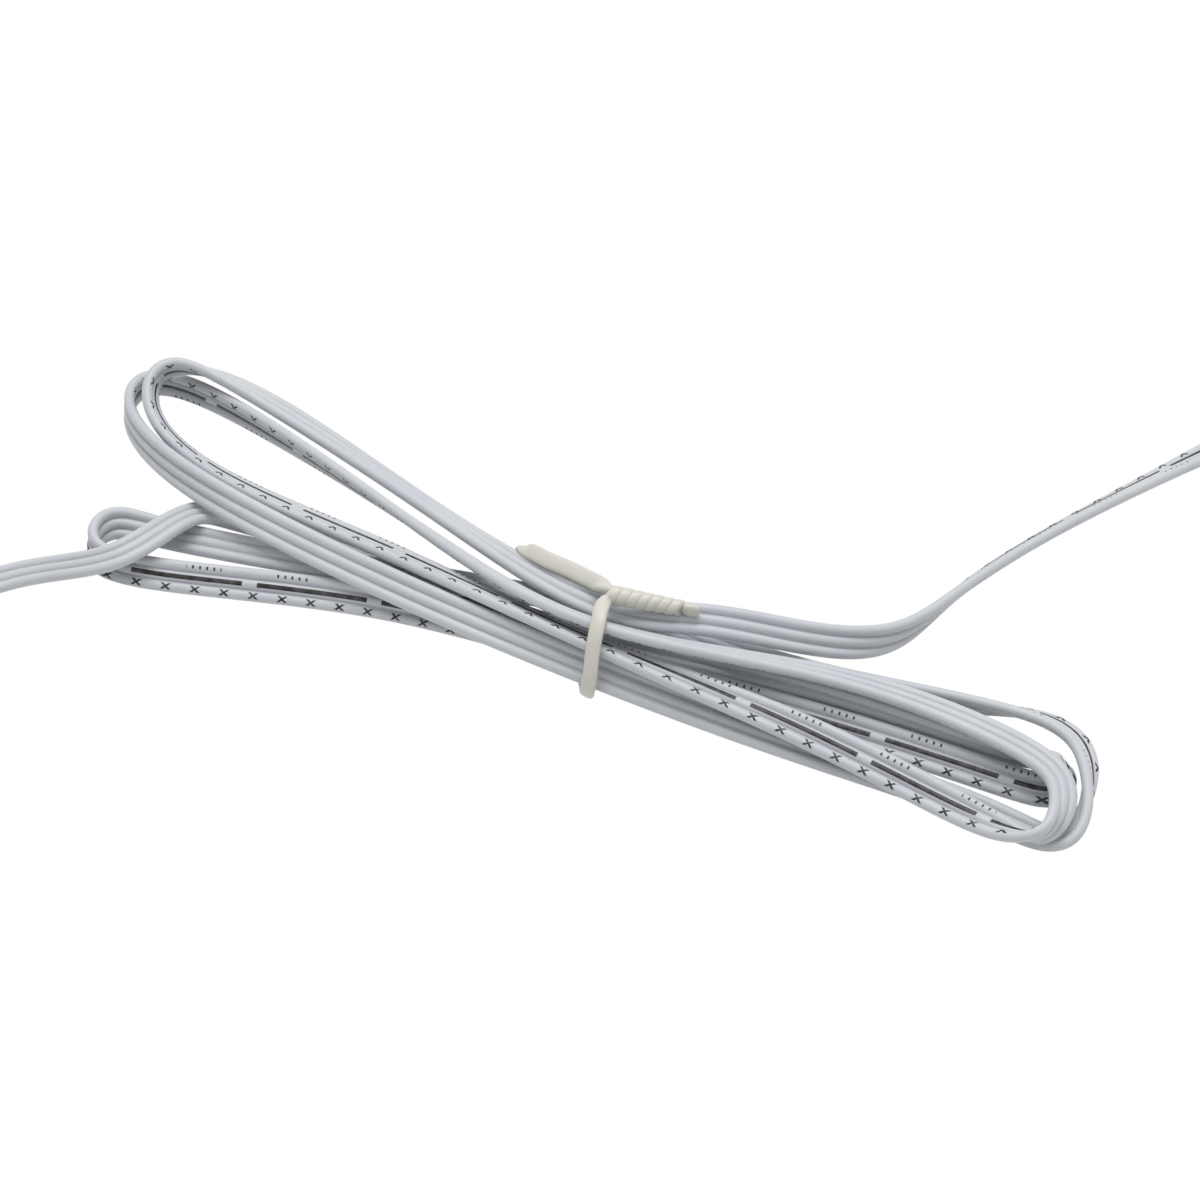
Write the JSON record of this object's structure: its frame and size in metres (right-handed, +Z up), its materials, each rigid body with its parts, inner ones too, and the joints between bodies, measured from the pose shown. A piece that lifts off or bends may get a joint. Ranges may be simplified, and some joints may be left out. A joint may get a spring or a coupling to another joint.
{
  "type": "extension cord",
  "caption": "Flat ribbon extension cord folded into a flat hank with a twist tie round its waist, and a latching wire-to-wire connector on each lead.",
  "frame": {"origin": "on the table, under the middle of the whole object's box", "axes": "+X along the hank towards its right-hand loops, +Y away from the viewer across the hank, +Z up from the table"},
  "size_m": [0.2556, 0.1484, 0.0137],
  "materials": {
    "cable": "satin white PVC insulation",
    "tie": "satin ivory PVC strip",
    "wire": "annealed wire",
    "sleeve": "shrunk polyolefin sleeve",
    "housing": "natural nylon",
    "contact": "tin plate",
    "copper": "bare stranded copper"
  },
  "bodies": {
    "cable": {"hank": "cable", "left_lead": "cable", "right_lead": "cable", "twist_tie": "tie", "tie_wire": "wire", "inlet_sleeve": "sleeve", "inlet_housing": "housing", "inlet_core_1": "cable", "inlet_core_2": "cable", "inlet_core_3": "cable", "inlet_conductor_1": "copper", "inlet_conductor_2": "copper", "inlet_conductor_3": "copper", "inlet_pin_1": "contact", "inlet_pin_2": "contact", "inlet_pin_3": "contact", "outlet_sleeve": "sleeve", "outlet_housing": "housing", "outlet_core_1": "cable", "outlet_core_2": "cable", "outlet_core_3": "cable", "outlet_conductor_1": "copper", "outlet_conductor_2": "copper", "outlet_conductor_3": "copper", "outlet_contact_1": "contact", "outlet_contact_2": "contact", "outlet_contact_3": "contact"},
    "latch": {"outlet_latch": "housing"}
  },
  "joints": [
    {"name": "latch_rock", "type": "hinge", "parent": "cable", "child": "latch", "pos_m": [0.115, 0.069, 0.0085], "axis": [0, -1, 0], "range_deg": [0, 8], "stiffness_Nm_per_rad": 0.02}
  ]
}
